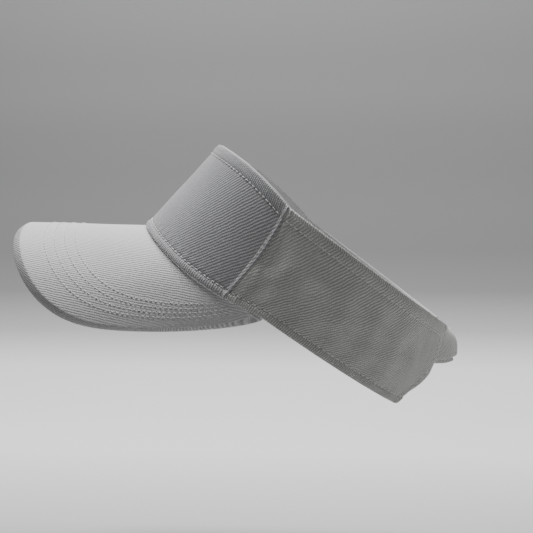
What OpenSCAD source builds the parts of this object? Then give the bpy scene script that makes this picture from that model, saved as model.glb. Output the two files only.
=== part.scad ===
// Sun visor: a cloth band open at the back with a hook-and-loop strap, and an arched stitched brim.
// The origin is the middle of the head opening. +Z is up, the brim points along -Y, and the
// wearer's left is +X. The band is drawn in its own frame, which leans back with the head.

/* [Band] */
// Outside length of the band's lower edge, front to back
band_l = 204.6; // [196:0.2:212]
// Outside width of the band's lower edge
band_w = 162; // [154:1:170]
// Height of the band at the front seam
band_h = 62; // [56:1:66]
// Extra height of the front panel at its middle, above the seam
front_rise = 7; // [0:0.5:10]
// How far the band's plane dips towards the back, in degrees
band_dip = 35; // [30:1:40]
// How much the band narrows per millimetre of height, as a share of its size
band_taper = 0.00137; // [0.0010:0.0001:0.0018]
// How far the front panel's upper edge bows up between its middle and the seam
top_bow = 3; // [0:0.5:4]
// How far the lower edge bows down over the brim
low_bow = 5; // [0:0.5:6]
// Distance of the side seams in front of the middle
seam_front = 25; // [20:1:32]

/* [Back opening] */
// Half width of the back opening at the lower edge
opening_low = 33; // [31:1:36]
// Half width of the back opening at the upper edge, on the left
opening_left = 14; // [13:1:16]
// Half width of the back opening at the upper edge, on the right
opening_right = 28; // [27:1:30]
// Width of the closure strap
strap_w = 20; // [16:1:22]
// Lean of the strap at the middle of the back, in degrees from the band's axis
strap_lean = 54; // [30:1:56]

/* [Brim] */
// Half width of the brim
brim_half_w = 80; // [78:0.5:82]
// Reach of the brim's tip in front of the origin
brim_reach = 185; // [170:1:195]
// Height of the brim's middle line above the origin, at the tip
brim_tip_z = 33.5; // [30:0.5:36]
// Drop of the brim's side edges below its middle line
brim_drop = 66; // [56:1:68]
// Thickness of the brim
brim_t = 4; // [3.6:0.1:5]
// Distance of the first stitch row from the brim's edge
row_inset = 20; // [16:1:22]
// Distance between the stitch rows
row_pitch = 6.5; // [5:0.5:7]

/* [Closure] */
// Opening angle of the strap tail that is drawn
peel_angle = 0; // [0:1:120]

/* [Hidden] */
$fn = 96;

low_z = -32.5;                          // band's lower edge in the band's frame
seam_z = low_z + band_h;                // upper edge at the seam
back_y = 84;                            // where the upper edge's height at the back is taken
back_z = seam_z - 4;                    // upper edge at the back
front_y = -band_l / 2;
cloth_t = 1;                            // one layer of the shell cloth
frame_h = 120;                          // height of the solids that the band is cut from
far = 150;                              // beyond every part, for cutting
thread_r = 0.35;
outline_steps = 24;                     // straight steps along each curved edge
sweep_h = 40;                           // the ends sweep in over this height

// Layers of the band, as depths below its outer surface
tape_depth = [1.05, 1.35];
stiffener_depth = [1.05, 1.7];
front_lining_depth = [1.8, 2.4];
side_lining_depth = [1.4, 2.0];
sweatband_depth = [2.6, 4.6];
label_depth = [4.7, 5.0];
sweatband_h = 32;
sweatband_low = 0.3;                    // it reaches this far below the shell
lining_setback = 6;                     // the linings stop short of the hemmed end edges
lining_least = 36;                      // and clear of the strap's sewn root

// Layers of the closure, as depths below the band's outer surface at its upper edge
strap_depth = [1.1, 2.3];
hook_depth = [2.5, 3.1];
loop_depth = [3.4, 4.0];
tab_depth = [4.15, 5.35];
strap_start = 25;                       // angles round the back, positive on the left
hinge_angle = 5;
hinge_gap = 0.2;                        // half the gap at the fold, in degrees
tail_end = -19;
tab_start = -25;
tab_end = 9;
lean_reach = 11;                        // on the left the strap starts to lean here, past the panel
tape_start = 2.5;
strap_drop = 0.3;                       // strap's upper edge below the band's
tab_low = 2.5;                          // the tab sits this much lower than the strap
tape_margin = 2;

// Brim
brim_root_angle = 90;                   // angle round the band from the front where the brim ends
brim_front_z = 31.8;                    // middle line at the band
brim_power = 2.8;                       // roundness across
brim_end_power = 8;                     // squareness of the front corners
brim_arch_w = 84;                       // half width of the arch's full ellipse
brim_cloth = 0.9;
board_inset = 3.4;                      // the board stops this far inside the turned edge

// ---------- general functions and shapes ----------

function unit(v) = v / norm(v);
function smooth(x) = let (k = min(max(x, 0), 1)) k * k * (3 - 2 * k);
function mix(a, b, k) = a + (b - a) * k;
function to_world(p) = [p[0], p[1] * cos(band_dip) + p[2] * sin(band_dip),
    p[2] * cos(band_dip) - p[1] * sin(band_dip)];

module in_band() {
    rotate([-band_dip, 0, 0])
        children();
}

// Closed sheet between two grids of points with the same rows and columns
module sheet_solid(top, bottom) {
    rows = len(top);
    cols = len(top[0]);
    count = rows * cols;
    points = [for (grid = [top, bottom]) for (row = grid) for (p = row) p];
    function at(i, j, side) = side * count + i * cols + j;
    function quad(a, b, c, d) = [[a, b, c], [a, c, d]];
    faces = [
        for (i = [0:rows - 2]) for (j = [0:cols - 2])
            each quad(at(i, j, 0), at(i, j + 1, 0), at(i + 1, j + 1, 0), at(i + 1, j, 0)),
        for (i = [0:rows - 2]) for (j = [0:cols - 2])
            each quad(at(i, j, 1), at(i + 1, j, 1), at(i + 1, j + 1, 1), at(i, j + 1, 1)),
        for (i = [0:rows - 2])
            each quad(at(i, 0, 0), at(i + 1, 0, 0), at(i + 1, 0, 1), at(i, 0, 1)),
        for (i = [0:rows - 2])
            each quad(at(i, cols - 1, 1), at(i + 1, cols - 1, 1), at(i + 1, cols - 1, 0), at(i, cols - 1, 0)),
        for (j = [0:cols - 2])
            each quad(at(0, j, 1), at(0, j + 1, 1), at(0, j + 1, 0), at(0, j, 0)),
        for (j = [0:cols - 2])
            each quad(at(rows - 1, j, 0), at(rows - 1, j + 1, 0), at(rows - 1, j + 1, 1), at(rows - 1, j, 1))
    ];
    polyhedron(points, faces);
}

// One stitch: a short thread from a to b
module stitch(a, b) {
    d = b - a;
    translate(a)
        rotate([0, acos(d[2] / norm(d)), atan2(d[1], d[0])])
            cylinder(h = norm(d), r = thread_r, $fn = 16);
}

// ---------- band ----------

// Size of the band at height z, as a share of its lower edge
function band_scale(z) = 1 - band_taper * (z - low_z);
// Point on the band: angle from the back's middle towards the left, height, depth below the surface
function band_point(angle, z, depth) = let (k = band_scale(z))
    [(band_w / 2 - depth) * k * sin(angle), (band_l / 2 - depth) * k * cos(angle), z];
// Height of the upper edge at a distance y behind the middle
function top_z(y) = let (k = (-seam_front - y) / (-seam_front - front_y * band_scale(seam_z)))
    y > -seam_front ? mix(seam_z, back_z, (y + seam_front) / (back_y + seam_front))
    : mix(seam_z, seam_z + front_rise, k) + top_bow * sin(180 * min(k, 1));
// Height of the lower edge, which bows down over the brim
function edge_z(y) = low_z - (y < 0 && y > front_y ? low_bow * sin(180 * y / front_y) : 0);
// Half width of the back opening: its ends sweep in above the lower corners
function end_half(z, side) = let (narrow = side > 0 ? opening_left : opening_right)
    narrow + (opening_low - narrow) * pow(max(0, 1 - (z - low_z) / sweep_h), 1.8);

// Solid oval cone whose side lies a depth below the band's surface
module band_core(depth) {
    translate([0, 0, low_z])
        scale([band_w / 2 - depth, band_l / 2 - depth, 1])
            translate([0, 0, -frame_h / 4])
                cylinder(h = frame_h, r1 = 1 + band_taper * frame_h / 4,
                    r2 = 1 - band_taper * frame_h * 3 / 4);
}

module band_layer(depth) {
    difference() {
        band_core(depth[0]);
        band_core(depth[1]);
    }
}

// Prism across the whole width, drawn as an outline of y and z
module side_prism(outline) {
    rotate([90, 0, 90])
        linear_extrude(2 * far, center = true)
            polygon(outline);
}

// Outline of the band between two distances behind the middle, with each edge pulled in a little
function steps(from, to) = [for (i = [0:outline_steps]) mix(from, to, i / outline_steps)];
function band_outline(from, to, low_in, high_in) = let (ys = steps(from, to))
    concat([for (y = ys) [y, edge_z(y) + low_in]],
        [for (i = [outline_steps:-1:0]) [ys[i], top_z(ys[i]) - high_in]]);

// Region of the front panel; grow moves the seams back
module front_region(grow = 0, low_in = 0, high_in = 0) {
    side_prism(band_outline(front_y - 1, -seam_front + grow, low_in, high_in));
}

// Region of a side panel, with the back opening cut away
module side_region(side, grow = 0, setback = 0, low_in = 0, high_in = 0, least = 0) {
    difference() {
        side_prism(band_outline(-seam_front + grow, band_l / 2 + 1, low_in, high_in));
        back_opening(side, setback, least);
    }
}

// The back opening on one side, reaching a little past the middle
module back_opening(side, setback, least = 0) {
    past = 5;
    steps = 14;
    zs = concat([low_z - 8], [for (i = [0:steps]) low_z + sweep_h * i / steps], [far / 2]);
    rotate([90, 0, 0])
        translate([0, 0, -far])
            linear_extrude(far)
                polygon(concat([[-side * past, far / 2], [-side * past, low_z - 8]],
                    [for (z = zs) [side * max(end_half(z, side) + setback, least), z]]));
}

// Keeps one side only: 1 for the wearer's left, -1 for the right
module one_side(side) {
    intersection() {
        children();
        translate([side > 0 ? 0 : -far, -far, -far])
            cube([far, 2 * far, 2 * far]);
    }
}

module front_piece(depth, grow = 0, low_in = 0, high_in = 0) {
    in_band() intersection() {
        band_layer(depth);
        front_region(grow, low_in, high_in);
    }
}

module side_piece(side, depth, grow = 0, setback = 0, low_in = 0, high_in = 0, least = 0) {
    in_band() one_side(side) intersection() {
        band_layer(depth);
        side_region(side, grow, setback, low_in, high_in, least);
    }
}

module front_panel() {
    color("white") front_piece([0, cloth_t], -0.05);
}

module side_panel(side) {
    color("white") side_piece(side, [0, cloth_t], 0.05);
}

module front_stiffener() {
    color("gainsboro") front_piece(stiffener_depth, -7, 2, 2);
}

module front_lining() {
    color("whitesmoke") front_piece(front_lining_depth, -0.1, 0.5, 0.5);
}

module side_lining(side) {
    color("whitesmoke") side_piece(side, side_lining_depth, 0.6, lining_setback, 0.5, 0.5, lining_least);
}

module seam_tape(side) {
    half = 6;
    color("snow") in_band() one_side(side) intersection() {
        band_layer(tape_depth);
        side_prism(band_outline(-seam_front - half, -seam_front + half, 1, 1));
    }
}

function sweatband_outline() = let (from = front_y - 1, to = band_l / 2 + 1)
    concat([for (y = steps(from, to)) [y, edge_z(y) - sweatband_low]],
        [[to, low_z + sweatband_h], [from, low_z + sweatband_h]]);

module sweatband() {
    color("ivory") in_band() difference() {
        intersection() {
            band_layer(sweatband_depth);
            side_prism(sweatband_outline());
        }
        for (side = [-1, 1])
            back_opening(side, 3);
    }
}

module care_label() {
    label_front = 30;
    label_w = 26;
    label_h = 18;
    color("linen") in_band() one_side(1) intersection() {
        band_layer(label_depth);
        side_prism([[label_front, low_z + 6], [label_front + label_w, low_z + 6],
            [label_front + label_w, low_z + 6 + label_h], [label_front, low_z + 6 + label_h]]);
    }
}

// Stitches along a run of angles, at a height given by a function of the angle
module band_stitches(from, to, count, upper) {
    step = (to - from) / count;
    long = 0.7;
    color("white") in_band()
        for (i = [0:count - 1])
            let (a = from + i * step, b = a + long * step)
                stitch(run_point(a, upper), run_point(b, upper));
}
function run_point(angle, upper) = let (
    y = (band_l / 2) * cos(angle),
    z = upper ? top_z(y * band_scale(seam_z)) - top_hem : edge_z(y) + low_hem)
    band_point(angle, z, 0);

seam_angle = acos(-seam_front / (band_l / 2) / band_scale(0));
// Angle of a side panel's end at a height
function end_angle(z, side) = asin(end_half(z, side) / (band_w / 2 * band_scale(z)));
low_hem = 5;                            // distance of the stitches from the edges
top_hem = 7.5;

module front_stitching(upper) {
    band_stitches(seam_angle + 2, 360 - seam_angle - 2, 58, upper);
}

module side_stitching(side, upper) {
    from = end_angle(upper ? back_z : low_z, side) + 4;
    band_stitches(side * from, side * (seam_angle - 2), 34, upper);
}

// Stitches that run up the band, at an angle given by a function of the height
module rising_stitches(angle_at, count) {
    long = 0.7;
    foot = low_z + 3;
    head = back_z - 4;
    color("white") in_band()
        for (i = [0:count - 1])
            let (a = mix(foot, head, i / count), b = mix(foot, head, (i + long) / count))
                stitch(band_point(angle_at(a), a, 0), band_point(angle_at(b), b, 0));
}

module seam_stitching(side) {
    rising_stitches(function (z) side * (seam_angle - 2.5), 16);
}

module end_stitching(side) {
    rising_stitches(function (z) side * (end_angle(z, side) + 3), 18);
}

// ---------- closure strap ----------

// Lean of the strap at an angle round the back
function lean_at(angle) = let (reach = angle > 0 ? lean_reach : -tab_start)
    mix(7.5, strap_lean, smooth(1 - abs(angle) / reach));
// Outward direction at an angle round the back, in the band's plane
function outward(angle) = unit([sin(angle) / band_w, cos(angle) / band_l, 0]);
// Direction down the strap's width, and the strap's outward normal
function down_dir(angle) = outward(angle) * sin(lean_at(angle)) - [0, 0, cos(lean_at(angle))];
function skin_dir(angle) = outward(angle) * cos(lean_at(angle)) + [0, 0, sin(lean_at(angle))];
// Point on the strap: angle, distance below its upper edge, depth below the band's surface
function strap_point(angle, down, depth) = let (edge = band_point(angle, back_z - strap_drop, 0))
    edge + down_dir(angle) * down - skin_dir(angle) * depth;

// Part of the strap between two angles
module strap_sheet(from, to, down, depth, shift = function (angle) 0) {
    rows = 24;
    cols = 4;
    function grid(d) = [for (i = [0:rows]) let (angle = mix(from, to, i / rows))
        [for (j = [0:cols]) strap_point(angle, mix(down[0], down[1], j / cols), d - shift(angle))]];
    in_band()
        sheet_solid(grid(depth[0]), grid(depth[1]));
}

module closure_strap() {
    color("white") strap_sheet(strap_start, hinge_angle + hinge_gap, [0, strap_w], strap_depth);
}

// The hinge line runs down the strap's outer face at the fold
hinge_low = strap_point(hinge_angle, strap_w, strap_depth[0]);
hinge_high = strap_point(hinge_angle, 0, strap_depth[0]);

module about_hinge() {
    axis = to_world(hinge_low) - to_world(hinge_high);
    translate(to_world(hinge_high))
        rotate(peel_angle, axis)
            translate(-to_world(hinge_high))
                children();
}

module strap_tail() {
    color("white") about_hinge()
        strap_sheet(hinge_angle - hinge_gap, tail_end, [0, strap_w], strap_depth);
}

module hook_tape() {
    color("lightgray") about_hinge()
        strap_sheet(tape_start, tail_end + 1.5, [tape_margin, strap_w - tape_margin], hook_depth);
}

module loop_tape() {
    color("silver")
        strap_sheet(tape_start + 1, tail_end + 0.5, [tape_margin, strap_w - tape_margin], loop_depth);
}

// The tab rises to the underside of the panel beside the opening
function tab_shift(angle) = (tab_depth[0] - strap_depth[0]) * smooth((tail_end - 0.5 - angle) / 5.5);

module right_tab() {
    color("white")
        strap_sheet(tab_end, tab_start, [tab_low, strap_w + tab_low], tab_depth,
            function (angle) tab_shift(angle));
}

module strap_stitches(from, to, down, depth, count) {
    long = 0.65;
    step = (to - from) / count;
    color("white") in_band()
        for (edge = down)
            for (i = [0:count - 1])
                let (a = from + i * step, b = a + long * step)
                    stitch(strap_point(a, edge, depth), strap_point(b, edge, depth));
}

module tail_stitching() {
    about_hinge()
        strap_stitches(hinge_angle - 2, tail_end + 2, [2.5, strap_w - 2.5], strap_depth[0], 11);
}

module strap_stitching() {
    strap_stitches(hinge_angle + 5, hinge_angle + 0.6, [2.5, strap_w - 2.5], strap_depth[0], 3);
}

// ---------- brim ----------

// Along the brim u runs from -1 on the right through 0 at the front to 1 on the left.
// Its inner edge follows the band's lower edge.
function brim_inner(u) = let (angle = 180 - u * brim_root_angle)
    to_world(band_point(angle, edge_z(band_l / 2 * cos(angle)) - 0.4, 1.2));
brim_root_y = brim_inner(1)[1];
// The arch is part of an ellipse
brim_full_drop = brim_drop / (1 - sqrt(1 - pow(brim_half_w / brim_arch_w, 2)));
function arch_drop(x) = brim_full_drop * (1 - sqrt(max(0, 1 - pow(x / brim_arch_w, 2))));
function brim_ridge_z(y) = mix(brim_front_z, brim_tip_z, (front_y - y) / (brim_reach + front_y));
function brim_outer(u) = let (
    c = 1 - pow(abs(u), brim_power),
    x = sign(u) * brim_half_w * pow(1 - pow(c, brim_end_power), 1 / brim_power),
    y = brim_root_y - (brim_reach + brim_root_y) * c,
    z = brim_ridge_z(y) - arch_drop(x),
    near_root = smooth(1 - c / 0.5))
    mix([x, y, z], brim_inner(sign(u) * 1), near_root * near_root);

// Point on the brim: u along it, v from the band to the edge, depth below the top
function brim_skin(u, v) = mix(brim_inner(u), brim_outer(u), v);
function brim_normal(u, v) = let (
    along = brim_skin(u + 0.004, v) - brim_skin(u - 0.004, v),
    across = brim_outer(u) - brim_inner(u))
    unit(cross(across, along));
function brim_point(u, v, depth) = brim_skin(u, v) - brim_normal(u, v) * depth;
function brim_width(u) = norm(brim_outer(u) - brim_inner(u));

brim_side_u = 0.965;                    // the brim's pieces end here, where it is a few mm wide
brim_rows = 56;
brim_cols = 6;

module brim_sheet(upper, lower, inset, wrap = 0) {
    function v_at(u, j) = (1 - inset / brim_width(u)) * j / brim_cols;
    function v_inside(u) = v_at(u, brim_cols) - brim_cloth / brim_width(u);
    us = [for (i = [0:brim_rows]) mix(-brim_side_u, brim_side_u, i / brim_rows)];
    top = [for (u = us) [
        for (j = [0:brim_cols]) brim_point(u, v_at(u, j), upper),
        if (wrap > 0) brim_point(u, v_at(u, brim_cols), upper + wrap)]];
    bottom = [for (u = us) [
        for (j = [0:brim_cols]) brim_point(u, j == brim_cols && wrap > 0 ? v_inside(u) : v_at(u, j), lower),
        if (wrap > 0) brim_point(u, v_inside(u), upper + wrap)]];
    sheet_solid(top, bottom);
}

module brim_insert() {
    color("lightgray") brim_sheet(brim_cloth + 0.05, brim_t - brim_cloth - 0.05, board_inset);
}

module brim_top_cover() {
    color("white") brim_sheet(0, brim_cloth, 0, brim_t);
}

module brim_under_cover() {
    color("whitesmoke") brim_sheet(brim_t - brim_cloth, brim_t, 1.1);
}

module brim_stitch_row(row) {
    inset = row_inset + (row - 1) * row_pitch;
    count = 74;
    long = 0.7;
    color("white")
        for (i = [0:count - 1])
            let (a = mix(-0.94, 0.94, i / count), b = mix(-0.94, 0.94, (i + long) / count))
                if (brim_width(a) > inset + 2 && brim_width(b) > inset + 2)
                    stitch(brim_point(a, 1 - inset / brim_width(a), 0),
                        brim_point(b, 1 - inset / brim_width(b), 0));
}

front_panel();
side_panel(1);  // left_side_panel
side_panel(-1);  // right_side_panel
front_stiffener();
front_lining();
side_lining(1);  // left_side_lining
side_lining(-1);  // right_side_lining
seam_tape(1);  // left_seam_tape
seam_tape(-1);  // right_seam_tape
sweatband();
care_label();
brim_insert();
brim_top_cover();
brim_under_cover();
brim_stitch_row(1);  // brim_stitch_row_1
brim_stitch_row(2);  // brim_stitch_row_2
brim_stitch_row(3);  // brim_stitch_row_3
brim_stitch_row(4);  // brim_stitch_row_4
front_stitching(true);  // front_top_stitching
side_stitching(1, true);  // left_top_stitching
side_stitching(-1, true);  // right_top_stitching
front_stitching(false);  // front_lower_stitching
side_stitching(1, false);  // left_lower_stitching
side_stitching(-1, false);  // right_lower_stitching
seam_stitching(1);  // left_seam_stitching
seam_stitching(-1);  // right_seam_stitching
end_stitching(1);  // left_end_stitching
end_stitching(-1);  // right_end_stitching
closure_strap();
strap_tail();
hook_tape();
loop_tape();
right_tab();
tail_stitching();
strap_stitching();
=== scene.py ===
"""Looks of the sun visor: cloth, thread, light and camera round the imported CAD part."""
import math

import bpy
import numpy as np
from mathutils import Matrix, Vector


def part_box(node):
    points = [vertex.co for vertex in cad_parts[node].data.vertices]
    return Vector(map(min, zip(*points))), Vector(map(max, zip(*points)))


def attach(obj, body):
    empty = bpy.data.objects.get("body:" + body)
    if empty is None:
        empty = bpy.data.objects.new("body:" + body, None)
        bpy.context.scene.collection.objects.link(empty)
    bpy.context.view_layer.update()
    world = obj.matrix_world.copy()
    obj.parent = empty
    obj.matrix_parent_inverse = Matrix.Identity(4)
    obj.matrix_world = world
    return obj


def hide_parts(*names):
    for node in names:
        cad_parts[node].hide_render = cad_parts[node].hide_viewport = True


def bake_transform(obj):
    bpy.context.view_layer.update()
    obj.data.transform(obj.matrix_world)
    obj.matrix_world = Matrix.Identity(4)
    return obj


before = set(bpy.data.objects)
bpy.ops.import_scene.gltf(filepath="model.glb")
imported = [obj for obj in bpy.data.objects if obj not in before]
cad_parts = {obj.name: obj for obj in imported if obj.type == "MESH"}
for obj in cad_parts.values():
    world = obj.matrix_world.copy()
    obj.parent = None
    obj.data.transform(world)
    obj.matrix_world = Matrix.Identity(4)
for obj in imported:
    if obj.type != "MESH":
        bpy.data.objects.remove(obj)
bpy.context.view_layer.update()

MM = 0.001
UV_SCALE = 0.01                 # one unit of the cloth's map is 100 mm
RAD = math.pi / 180

# ---------- sizes in mm, in the CAD part's frame ----------

DIP = 35 * RAD                  # the band's plane dips to the back
SEAM_Y = -25.0                  # seam between front and side panels
SEAM_BOW = 2.6                  # it bows to the back at half height
TOP_SLOPE = -4 / 109            # upper edge, per mm towards the back
FRONT_RISE = 7.0
TOP_BOW = 3.0
LOW_BOW = 5.0
OPENING_LOW = 33.0
OPENING_HIGH = {1: 14.0, -1: 28.0}   # left and right
SWEEP_H = 40.0                  # the ends sweep in over this height
LINING_BACK = 6.0               # the side linings stop this far from the panels' ends
LINING_FROM = 36.0              # half width at the back that the side linings leave free
LOW_HEM = 5.0
TOP_HEM = 7.5

STRAP_W = 20.0
STRAP_LEAN = 54.0
LEAN_REACH = 11.0               # degrees left of the middle where the strap starts to lean
STRAP_START = 25.0
HINGE = 5.0
TAIL_END = -19.0
TAB_START = -25.0
TAB_END = 9.0
TAPE_START = 2.5
STRAP_DEPTH = (1.1, 2.3)        # layers, as depths below the band's surface
HOOK_DEPTH = (2.35, 2.75)
LOOP_DEPTH = (3.6, 4.1)
TAB_DEPTH = (4.15, 5.35)
STRAP_DROP = 0.3
TAB_LOW = 2.5
CROWN = 3.2                     # the strap's cloth bulges outward this much across its width
ROOT_FLARE = 4.5                # it widens downward by this much towards the left panel
BEND = 2.5                      # the tail's cloth bends over this many degrees each side of the hinge

BRIM_FRONT_Z = 31.8
BRIM_TIP_Z = 33.5
BRIM_DROP = 66.0
BRIM_ARCH_W = 84.0
BRIM_HALF_W = 80.0
BRIM_POWER = 2.8
BRIM_END_POWER = 8
BRIM_T = 4.2
BRIM_SIDE = 0.988               # share of the way round at which the brim's cloth ends
ROWS_SIDE = 0.95                # the same for the brim's stitch rows
ROW_STITCH = 3.1                # length of a stitch and its gap
UNDER_INSET = 1.7               # the under cover stops this far inside the edge
ROWS_AT = (20.0, 26.5, 33.0, 39.5)   # stitch rows, from the brim's edge
TURN_Q = (5.0, 4.6, 4.0, 3.3, 2.5, 1.7, 1.0, 0.45, 0.15, 0.3, 0.9, 1.8, 3.0, 4.2)   # the cover's turned edge
TURN_D = (0.0, 0.14, 0.36, 0.72, 1.2, 1.75, 2.3, 2.85, 3.35, 3.85, 4.1, 4.2, 4.1, 3.7)


# ---------- the CAD part's own shape ----------

def to_world(p):
    c, s = math.cos(DIP), math.sin(DIP)
    return np.stack([p[..., 0], p[..., 1] * c + p[..., 2] * s, p[..., 2] * c - p[..., 1] * s], -1)


def to_band(p):
    c, s = math.cos(DIP), math.sin(DIP)
    return np.stack([p[..., 0], p[..., 1] * c - p[..., 2] * s, p[..., 1] * s + p[..., 2] * c], -1)


def cad_points(node):
    """Vertices of a CAD node in mm."""
    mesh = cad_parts[node].data
    co = np.zeros(len(mesh.vertices) * 3, np.float32)
    mesh.vertices.foreach_get("co", co)
    return co.reshape(-1, 3).astype(float) / MM


def fit_oval(points, low):
    """Half width, half length and taper of the oval cone that the points lie on."""
    half_w, half_l, taper = 80.0, 100.0, 0.001
    for _ in range(8):
        k = 1 - taper * (points[:, 2] - low)
        x, y = points[:, 0] / k, points[:, 1] / k
        inv = np.linalg.lstsq(np.stack([x * x, y * y], 1), np.ones(len(x)), rcond=None)[0]
        half_w, half_l = inv ** -0.5
        r = np.hypot(points[:, 0] / half_w, points[:, 1] / half_l)
        slope, at_low = np.polyfit(points[:, 2] - low, r, 1)
        taper, half_w, half_l = -slope / at_low, half_w * at_low, half_l * at_low
    return half_w, half_l, taper


side = to_band(cad_points("left_side_panel"))
LOW_Z = side[side[:, 1] > 10, 2].min()
SEAM_Z = side[:, 2].max()
shell = np.concatenate([side, to_band(cad_points("front_panel"))])
HALF_W, HALF_L, TAPER = fit_oval(shell, LOW_Z)
outside = np.hypot(shell[:, 0] / HALF_W, shell[:, 1] / HALF_L) > 1 - TAPER * (shell[:, 2] - LOW_Z)
HALF_W, HALF_L, TAPER = fit_oval(shell[outside], LOW_Z)
BACK_Z = SEAM_Z + TOP_SLOPE * 109
BRIM_REACH = -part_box("brim_top_cover")[0].y / MM


def smooth(x):
    k = np.clip(x, 0, 1)
    return k * k * (3 - 2 * k)


def mix(a, b, k):
    return a + (b - a) * k


def scale_at(z):
    return 1 - TAPER * (z - LOW_Z)


def band_point(a, z, depth=0.0):
    k = scale_at(z)
    return np.stack([(HALF_W - depth) * k * np.sin(a), (HALF_L - depth) * k * np.cos(a), z + 0 * a], -1)


def top_z(y):
    k = np.clip((SEAM_Y - y) / (SEAM_Y + HALF_L * scale_at(SEAM_Z)), 0, 1)
    behind = SEAM_Z + TOP_SLOPE * (y - SEAM_Y)
    before = SEAM_Z + FRONT_RISE * k + TOP_BOW * np.sin(math.pi * k)
    return np.where(y > SEAM_Y, behind, before)


def edge_z(y):
    return LOW_Z - LOW_BOW * np.where(y < 0, np.sin(math.pi * np.clip(-y / HALF_L, 0, 1)), 0)


def seam_angle(z, back=0.0):
    up = np.clip((z - LOW_Z) / (SEAM_Z - LOW_Z), 0, 1)
    y = SEAM_Y + SEAM_BOW * np.sin(math.pi * up) + back
    return np.arccos(y / (HALF_L * scale_at(z)))


def end_angle(z, side, back=0.0, least=0.0):
    narrow = OPENING_HIGH[side]
    half = narrow + (OPENING_LOW - narrow) * np.clip(1 - (z - LOW_Z) / SWEEP_H, 0, 1.2) ** 1.8
    return np.arcsin(np.maximum(half - back, least) / (HALF_W * scale_at(z)))


def arc_length(a, b):
    t = np.linspace(a, b, 400)
    p = np.stack([HALF_W * np.sin(t), HALF_L * np.cos(t)], 1)
    return np.linalg.norm(np.diff(p, axis=0), axis=1).sum()


# ---------- meshes ----------

def link(mesh, name, body, stands_for=(), materials=()):
    obj = bpy.data.objects.new(name, mesh)
    bpy.context.scene.collection.objects.link(obj)
    for material in materials:
        mesh.materials.append(material)
    if body:
        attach(obj, body)
    if stands_for:
        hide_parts(*stands_for)
    return obj


def make_mesh(name, points, quads, uv, indices=None):
    """Mesh from points in mm, corners of quads, the cloth's map per point and a material per quad."""
    mesh = bpy.data.meshes.new(name)
    mesh.from_pydata((points * MM).tolist(), [], quads.tolist())
    layer = mesh.uv_layers.new(name="cloth")
    loops = np.zeros(len(mesh.loops), np.int32)
    mesh.loops.foreach_get("vertex_index", loops)
    layer.data.foreach_set("uv", (uv[loops] * UV_SCALE).astype(np.float32).ravel())
    mesh.polygons.foreach_set("use_smooth", np.ones(len(mesh.polygons), bool))
    if indices is not None:
        mesh.polygons.foreach_set("material_index", indices.astype(np.int32))
    mesh.validate()
    mesh.update()
    return mesh


def grid_quads(rows, cols, close_cols=False):
    j_next = cols if close_cols else cols - 1
    i, j = np.meshgrid(np.arange(rows - 1), np.arange(j_next), indexing="ij")
    jn = (j + 1) % cols
    corners = [i * cols + j, (i + 1) * cols + j, (i + 1) * cols + jn, i * cols + jn]
    return np.stack(corners, -1).reshape(-1, 4)


class Surface:
    """A grid of points in mm over two coordinates, which can be sampled between its points."""

    def __init__(self, points, u, v, side=1):
        self.p, self.u, self.v = points, u, v
        n = side * np.cross(np.gradient(points, axis=0), np.gradient(points, axis=1))
        self.n = n / np.maximum(np.linalg.norm(n, axis=-1, keepdims=True), 1e-9)

    def at(self, u, v, grid):
        fi = np.interp(u, self.u, np.arange(len(self.u)))
        fj = np.interp(v, self.v, np.arange(len(self.v)))
        i = np.clip(fi.astype(int), 0, len(self.u) - 2)
        j = np.clip(fj.astype(int), 0, len(self.v) - 2)
        a, b = (fi - i)[..., None], (fj - j)[..., None]
        return (grid[i, j] * (1 - a) * (1 - b) + grid[i + 1, j] * a * (1 - b)
                + grid[i, j + 1] * (1 - a) * b + grid[i + 1, j + 1] * a * b)

    def point(self, u, v):
        return self.at(u, v, self.p)

    def normal(self, u, v):
        n = self.at(u, v, self.n)
        return n / np.maximum(np.linalg.norm(n, axis=-1, keepdims=True), 1e-9)


def waves(seed, s, v, count, size, longest, stretch=1.0):
    """Smooth random relief, in mm: a sum of long waves."""
    rng = np.random.default_rng(seed)
    total = 0 * (s + v)
    for _ in range(count):
        length = rng.uniform(0.35, 1) * longest
        angle = rng.uniform(0, math.pi)
        phase = rng.uniform(0, 2 * math.pi)
        along = s * math.cos(angle) + v * math.sin(angle) * stretch
        total = total + np.sin(2 * math.pi * along / length + phase)
    return size * total / math.sqrt(count)


HEIGHT = 64.0                   # nominal height of the band in the cloth's map


def profile_rows(mid=58, inside=12):
    """Rows round a piece of cloth: share towards the upper edge, distance from the nearer edge,
    share of the outer side, and place in the cloth's map."""
    rows = []
    for t in np.linspace(0, math.pi, 8):
        rows.append((0, 1 - math.sin(t), (1 - math.cos(t)) / 2, 2 * t / math.pi - 1))
    rows += [(0, h, 1, h) for h in np.linspace(1, 9, 13)[1:]]
    rows += [(w, 9, 1, 9 + w * (HEIGHT - 18)) for w in np.linspace(0, 1, mid)[1:-1]]
    rows += [(1, h, 1, HEIGHT - h) for h in np.linspace(9, 1, 13)[:-1]]
    for t in np.linspace(0, math.pi, 8):
        rows.append((1, 1 - math.sin(t), (1 + math.cos(t)) / 2, HEIGHT - 1 + 2 * t / math.pi))
    rows += [(w, 1, 0, HEIGHT + 1 + (1 - w) * (HEIGHT - 2)) for w in np.linspace(1, 0, inside)[1:-1]]
    return np.array(rows)


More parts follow.
